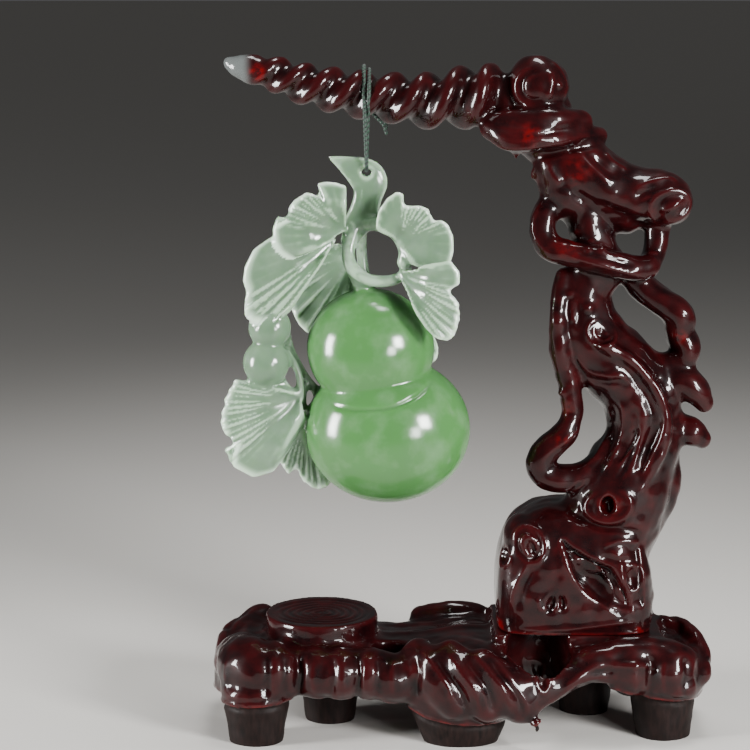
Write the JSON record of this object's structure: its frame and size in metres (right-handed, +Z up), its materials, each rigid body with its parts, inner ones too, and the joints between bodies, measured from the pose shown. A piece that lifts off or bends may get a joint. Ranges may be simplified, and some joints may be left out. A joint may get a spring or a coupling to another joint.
{
  "type": "jade carving on stand",
  "caption": "Pale green jade double gourd with vine and fan leaves, hung by a dark green thread from the twisted arm of a glossy oxblood root-wood stand on a low footed base.",
  "frame": {"origin": "middle of the base's footprint, on the surface that the stand is on", "axes": "+Z up; +X along the base towards the end that carries the upright; -Y towards the carving's front"},
  "size_m": [0.1798, 0.0777, 0.2424],
  "materials": {
    "lacquered_wood": "thick glossy oxblood lacquer over carved root wood, bare and matt on the feet",
    "jade": "polished, translucent pale green",
    "thread": "twisted thread"
  },
  "bodies": {
    "root": {"root_base": "lacquered_wood", "root_upright": "lacquered_wood", "jade_gourd": "jade", "hanging_cord": "thread", "cord_knot": "thread"}
  },
  "joints": []
}
